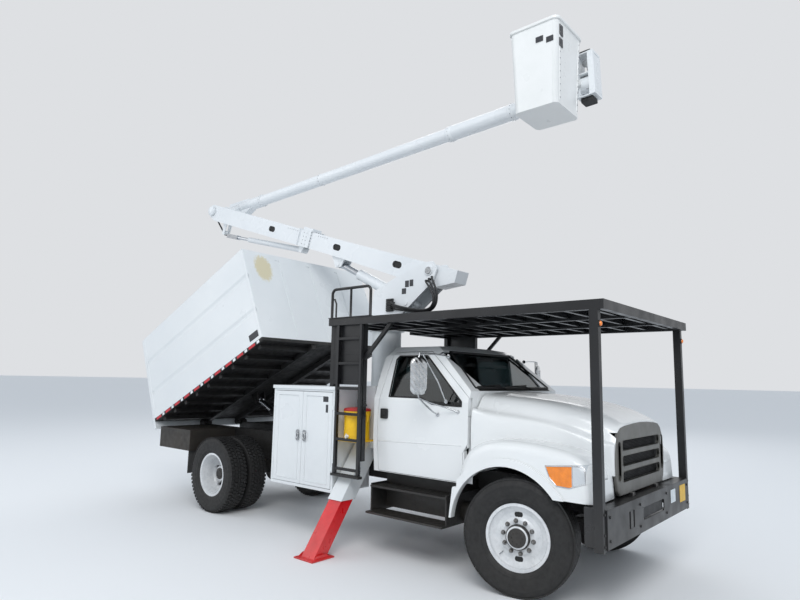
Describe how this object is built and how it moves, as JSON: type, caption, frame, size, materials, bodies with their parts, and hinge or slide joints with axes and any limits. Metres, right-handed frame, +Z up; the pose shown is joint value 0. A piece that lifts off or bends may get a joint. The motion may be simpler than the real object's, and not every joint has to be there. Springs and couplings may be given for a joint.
{
  "type": "cherry picker truck",
  "caption": "Forestry cherry picker: cab and chassis with a raised tipping chip body, two-section boom with a bucket, cab guard, tool boxes and side outriggers.",
  "frame": {"origin": "middle of the whole vehicle's length and width, on the ground", "axes": "+X the way the truck drives, +Y its left side, +Z up"},
  "size_m": [8.0924, 3.484, 5.9728],
  "materials": {
    "chassis_black": "satin black chassis paint, dusty",
    "engine_metal": "bare cast iron with aluminium covers",
    "axle_black": "black axle paint, dusty",
    "guard_black": "satin black powder coat",
    "white_paint": "gloss white cab paint",
    "body_white": "gloss white body paint, slightly dusty",
    "boom_white": "gloss white boom paint",
    "glass_tint": "dark tinted glass",
    "interior_grey": "grained grey plastic and cloth",
    "grille_grey": "mid grey moulded grille",
    "lamp_lens": "clear lamp lens",
    "mirror_steel": "stainless steel",
    "tyre": "black rubber, dusty",
    "wheel_white": "white wheel paint, dusty",
    "step_black": "black painted tread plate",
    "tank_grey": "dull aluminium",
    "outrigger_red": "bright red paint",
    "box_brown": "brownish black paint",
    "flap_rubber": "black rubber sheet",
    "cooler_yellow": "yellow polyethylene",
    "rod_chrome": "hard chrome",
    "chain_steel": "oiled steel chain",
    "bucket_white": "white glass fibre"
  },
  "bodies": {
    "chassis": {"chassis_frame": "chassis_black", "engine": "engine_metal", "front_axle": "axle_black", "rear_axle": "axle_black", "front_bumper": "guard_black", "cab_guard": "guard_black", "ladder": "guard_black", "cab_shell": "white_paint", "cab_glass": "glass_tint", "cab_interior": "interior_grey", "toolboxes": "body_white", "cab_steps": "step_black", "tanks": "tank_grey", "pedestal": "body_white", "outrigger_housings": "body_white", "rear_boxes": "box_brown", "mud_flaps": "flap_rubber", "water_cooler": "cooler_yellow"},
    "hood": {"hood": "white_paint", "grille": "grille_grey", "headlamps": "lamp_lens"},
    "door_right": {"door_right": "white_paint", "door_glass_right": "glass_tint", "mirror_right": "mirror_steel"},
    "door_left": {"door_left": "white_paint", "door_glass_left": "glass_tint", "mirror_left": "mirror_steel"},
    "knuckle_right": {"knuckle_right": "axle_black"},
    "knuckle_left": {"knuckle_left": "axle_black"},
    "front_wheel_right": {"front_wheel_right": "wheel_white", "front_tyre_right": "tyre"},
    "front_wheel_left": {"front_wheel_left": "wheel_white", "front_tyre_left": "tyre"},
    "rear_wheels_right": {"rear_wheels_right": "wheel_white", "rear_tyres_right": "tyre"},
    "rear_wheels_left": {"rear_wheels_left": "wheel_white", "rear_tyres_left": "tyre"},
    "bed": {"bed_floor": "chassis_black", "bed_body": "body_white"},
    "tailgate": {"tailgate": "body_white"},
    "hoist_barrel": {"hoist_barrel": "chassis_black"},
    "hoist_rod": {"hoist_rod": "rod_chrome"},
    "turret": {"turret": "boom_white"},
    "lower_boom": {"lower_boom": "boom_white", "elbow_barrel": "boom_white", "elbow_chain": "chain_steel"},
    "lift_barrel": {"lift_barrel": "boom_white"},
    "lift_rod": {"lift_rod": "rod_chrome"},
    "elbow_rod": {"elbow_rod": "rod_chrome"},
    "upper_boom": {"upper_boom": "boom_white"},
    "bucket": {"bucket": "bucket_white"},
    "outrigger_leg_right": {"outrigger_leg_right": "outrigger_red"},
    "outrigger_leg_left": {"outrigger_leg_left": "outrigger_red"},
    "toolbox_door_right_front": {"toolbox_door_right_front": "body_white"},
    "toolbox_door_right_rear": {"toolbox_door_right_rear": "body_white"},
    "toolbox_door_left_front": {"toolbox_door_left_front": "body_white"},
    "toolbox_door_left_rear": {"toolbox_door_left_rear": "body_white"}
  },
  "joints": [
    {"name": "steer_right", "type": "hinge", "parent": "chassis", "child": "knuckle_right", "pos_m": [3.10615, -0.89, 0.522], "axis": [0, 0, 1], "range_deg": [-47, 23]},
    {"name": "steer_left", "type": "hinge", "parent": "chassis", "child": "knuckle_left", "pos_m": [3.10615, 0.89, 0.522], "axis": [0, 0, 1], "range_deg": [-47, 23]},
    {"name": "front_wheel_right_spin", "type": "hinge", "parent": "knuckle_right", "child": "front_wheel_right", "pos_m": [3.1363, -1.03183, 0.522], "axis": [-0.2079, 0.9781, 0], "continuous": true},
    {"name": "front_wheel_left_spin", "type": "hinge", "parent": "knuckle_left", "child": "front_wheel_left", "pos_m": [3.07601, 1.03183, 0.522], "axis": [-0.2079, 0.9781, 0], "continuous": true},
    {"name": "rear_wheels_right_spin", "type": "hinge", "parent": "chassis", "child": "rear_wheels_right", "pos_m": [-1.72985, -0.91, 0.522], "axis": [0, 1, 0], "continuous": true},
    {"name": "rear_wheels_left_spin", "type": "hinge", "parent": "chassis", "child": "rear_wheels_left", "pos_m": [-1.72985, 0.91, 0.522], "axis": [0, 1, 0], "continuous": true},
    {"name": "hood_tilt", "type": "hinge", "parent": "chassis", "child": "hood", "pos_m": [3.92115, 0, 0.905], "axis": [0, 1, 0], "range_deg": [0, 60]},
    {"name": "door_right_swing", "type": "hinge", "parent": "chassis", "child": "door_right", "pos_m": [2.51615, -0.985, 1.3], "axis": [0, 0, 1], "range_deg": [0, 60]},
    {"name": "door_left_swing", "type": "hinge", "parent": "chassis", "child": "door_left", "pos_m": [2.51615, 0.985, 1.3], "axis": [0, 0, -1], "range_deg": [0, 60]},
    {"name": "toolbox_door_right_front_swing", "type": "hinge", "parent": "chassis", "child": "toolbox_door_right_front", "pos_m": [0.76515, -1.221, 1.15], "axis": [0, 0, 1], "range_deg": [0, 90]},
    {"name": "toolbox_door_right_rear_swing", "type": "hinge", "parent": "chassis", "child": "toolbox_door_right_rear", "pos_m": [-0.29385, -1.221, 1.15], "axis": [0, 0, -1], "range_deg": [0, 90]},
    {"name": "toolbox_door_left_front_swing", "type": "hinge", "parent": "chassis", "child": "toolbox_door_left_front", "pos_m": [0.76515, 1.221, 1.15], "axis": [0, 0, -1], "range_deg": [0, 90]},
    {"name": "toolbox_door_left_rear_swing", "type": "hinge", "parent": "chassis", "child": "toolbox_door_left_rear", "pos_m": [-0.29385, 1.221, 1.15], "axis": [0, 0, 1], "range_deg": [0, 90]},
    {"name": "bed_tip", "type": "hinge", "parent": "chassis", "child": "bed", "pos_m": [-3.30385, 0, 1.12], "axis": [0, -1, 0], "range_deg": [-24.4, 4.5]},
    {"name": "tailgate_swing", "type": "hinge", "parent": "bed", "child": "tailgate", "pos_m": [-4.00062, 0, 2.50595], "axis": [0, 1, 0], "range_deg": [0, 75]},
    {"name": "hoist_barrel_pivot", "type": "hinge", "parent": "chassis", "child": "hoist_barrel", "pos_m": [-1.00385, 0, 0.92], "axis": [0, -1, 0], "range_deg": [-3.22, 16.99]},
    {"name": "hoist_rod_slide", "type": "slide", "parent": "hoist_barrel", "child": "hoist_rod", "axis": [-0.8988, 0, 0.4383], "range_m": [-0.248, 0.0466]},
    {"name": "turret_turn", "type": "hinge", "parent": "chassis", "child": "turret", "pos_m": [0.51315, 0, 2.64], "axis": [0, 0, 1], "continuous": true},
    {"name": "lower_boom_lift", "type": "hinge", "parent": "turret", "child": "lower_boom", "pos_m": [1.35615, 0, 3.32], "axis": [0, 1, 0], "range_deg": [-2.4, 50]},
    {"name": "lift_barrel_pivot", "type": "hinge", "parent": "turret", "child": "lift_barrel", "pos_m": [0.97615, 0, 2.925], "axis": [0, 1, 0], "range_deg": [-2.43, 48.69]},
    {"name": "lift_rod_slide", "type": "slide", "parent": "lift_barrel", "child": "lift_rod", "axis": [-0.8944, 0, 0.4472], "range_m": [-0.0235, 0.47]},
    {"name": "upper_boom_fold", "type": "hinge", "parent": "lower_boom", "child": "upper_boom", "pos_m": [-3.87358, 0, 5.02934], "axis": [0, -1, 0], "range_deg": [-18.5, 127]},
    {"name": "elbow_rod_slide", "type": "slide", "parent": "lower_boom", "child": "elbow_rod", "axis": [-0.9688, 0, 0.2477], "range_m": [-0.261, 0.0389]},
    {"name": "bucket_level", "type": "hinge", "parent": "upper_boom", "child": "bucket", "pos_m": [3.19087, 0.2, 5.43983], "axis": [0, -1, 0], "range_deg": [-127, 18.5]},
    {"name": "outrigger_leg_right_slide", "type": "slide", "parent": "chassis", "child": "outrigger_leg_right", "axis": [0, 0.5736, 0.8192], "range_m": [0, 0.6]},
    {"name": "outrigger_leg_left_slide", "type": "slide", "parent": "chassis", "child": "outrigger_leg_left", "axis": [0, -0.5736, 0.8192], "range_m": [0, 0.6]}
  ],
  "couplings": [
    {"joint": "steer_left", "follows": "steer_right", "ratio": 1},
    {"joint": "hoist_barrel_pivot", "follows": "bed_tip", "ratio": -0.6924},
    {"joint": "hoist_rod_slide", "follows": "bed_tip", "m_per_rad": 0.5801},
    {"joint": "lift_barrel_pivot", "follows": "lower_boom_lift", "ratio": 0.9718},
    {"joint": "lift_rod_slide", "follows": "lower_boom_lift", "m_per_rad": 0.5374},
    {"joint": "elbow_rod_slide", "follows": "upper_boom_fold", "m_per_rad": -0.1173},
    {"joint": "bucket_level", "follows": "upper_boom_fold", "ratio": -1}
  ]
}
